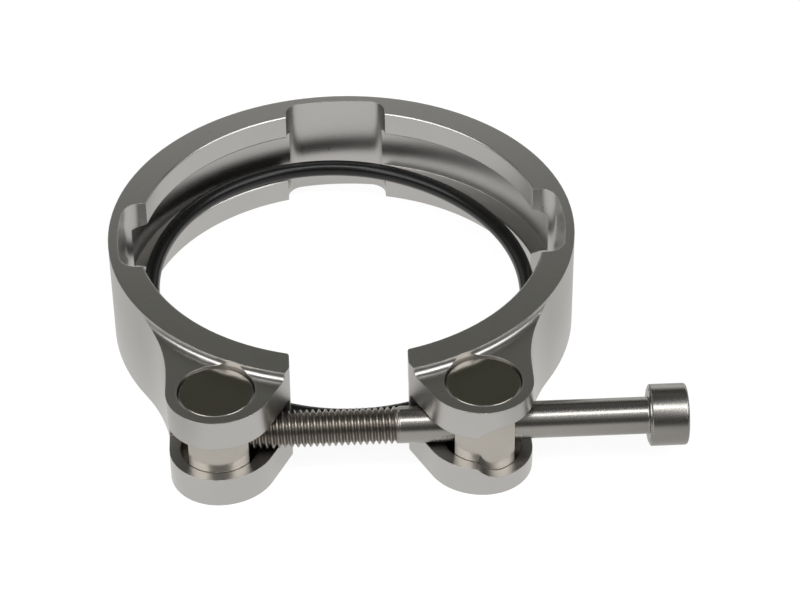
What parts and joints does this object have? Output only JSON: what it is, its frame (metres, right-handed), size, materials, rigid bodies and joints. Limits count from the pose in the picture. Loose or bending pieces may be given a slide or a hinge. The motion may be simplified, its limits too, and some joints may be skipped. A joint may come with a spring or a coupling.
{
  "type": "v band clamp",
  "caption": "Machined V-groove band clamp, split at the front, drawn together by a socket head cap screw through two trunnions in its lugs, with a loose seal ring.",
  "frame": {"origin": "on the ring's axis, half way up the ring, at the middle of its V groove", "axes": "+Z along the ring's axis, towards the face with the step down to the lugs; -Y towards the split and the screw; +X along the screw, towards its head"},
  "size_m": [0.0935, 0.088, 0.0184],
  "materials": {
    "ring": "satin machined",
    "seal": "smooth black",
    "trunnion": "turned, bright",
    "screw": "bright stainless"
  },
  "bodies": {
    "clamp": {"clamp_ring": "ring", "o_ring": "seal"},
    "threaded_trunnion": {"threaded_trunnion": "trunnion"},
    "plain_trunnion": {"plain_trunnion": "trunnion"},
    "screw": {"cap_screw": "screw"}
  },
  "joints": [
    {"name": "threaded_trunnion_pivot", "type": "hinge", "parent": "clamp", "child": "threaded_trunnion", "pos_m": [-0.02124, -0.0404, -0.0006], "axis": [0, 0, 1], "range_deg": [-0.25, 0.25]},
    {"name": "plain_trunnion_pivot", "type": "hinge", "parent": "clamp", "child": "plain_trunnion", "pos_m": [0.02124, -0.0404, -0.0006], "axis": [0, 0, 1], "range_deg": [-0.25, 0.25]},
    {"name": "screw_travel", "type": "slide", "parent": "threaded_trunnion", "child": "screw", "axis": [1, 0, 0], "range_m": [-0.0217, 0.003]}
  ],
  "couplings": [
    {"joint": "plain_trunnion_pivot", "follows": "threaded_trunnion_pivot", "ratio": 1}
  ]
}
